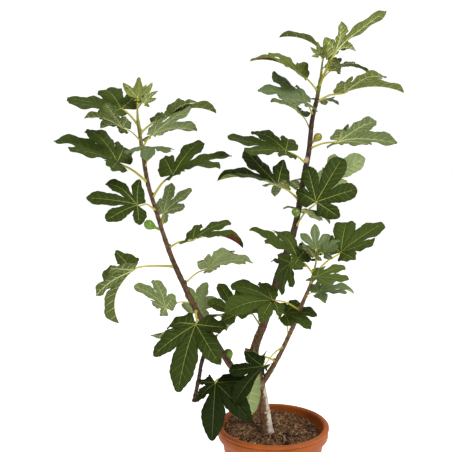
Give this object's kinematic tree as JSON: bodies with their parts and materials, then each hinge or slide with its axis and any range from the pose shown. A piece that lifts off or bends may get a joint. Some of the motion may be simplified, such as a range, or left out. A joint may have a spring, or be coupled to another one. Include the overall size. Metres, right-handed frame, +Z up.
{
  "type": "potted fig tree",
  "caption": "Young fig tree with a short leaning trunk forked into bare boughs, large lobed leaves on long stalks and green figs, standing in a round terracotta pot.",
  "frame": {"origin": "centre of the pot's flat underside", "axes": "+Z up along the pot's axis towards the crown, +X to the side of the right bough, -Y to the front"},
  "size_m": [0.8201, 0.3819, 1.2471],
  "materials": {
    "terracotta": "satin",
    "potting_mix": "matte",
    "bark": "matte",
    "foliage": "satin"
  },
  "bodies": {
    "root": {"pot": "terracotta", "soil": "potting_mix", "trunk": "bark", "left_bough": "bark", "right_bough": "bark", "side_shoot": "bark", "dead_spur": "bark", "left_tip_tuft": "foliage", "right_tip_tuft": "foliage", "side_tip_tuft": "foliage", "left_leaf_01": "foliage", "left_leaf_02": "foliage", "left_leaf_03": "foliage", "left_leaf_04": "foliage", "left_leaf_05": "foliage", "left_leaf_06": "foliage", "left_leaf_07": "foliage", "left_leaf_08": "foliage", "left_leaf_09": "foliage", "left_leaf_10": "foliage", "left_leaf_11": "foliage", "left_leaf_12": "foliage", "left_leaf_13": "foliage", "left_leaf_14": "foliage", "left_leaf_15": "foliage", "left_leaf_16": "foliage", "left_leaf_17": "foliage", "left_leaf_18": "foliage", "right_leaf_01": "foliage", "right_leaf_02": "foliage", "right_leaf_03": "foliage", "right_leaf_04": "foliage", "right_leaf_05": "foliage", "right_leaf_06": "foliage", "right_leaf_07": "foliage", "right_leaf_08": "foliage", "right_leaf_09": "foliage", "right_leaf_10": "foliage", "right_leaf_11": "foliage", "right_leaf_12": "foliage", "right_leaf_13": "foliage", "right_leaf_14": "foliage", "right_leaf_15": "foliage", "right_leaf_16": "foliage", "right_leaf_17": "foliage", "right_leaf_18": "foliage", "side_leaf_01": "foliage", "side_leaf_02": "foliage", "side_leaf_03": "foliage", "side_leaf_04": "foliage", "side_leaf_05": "foliage", "side_leaf_06": "foliage", "side_leaf_07": "foliage", "side_leaf_08": "foliage"}
  },
  "joints": []
}
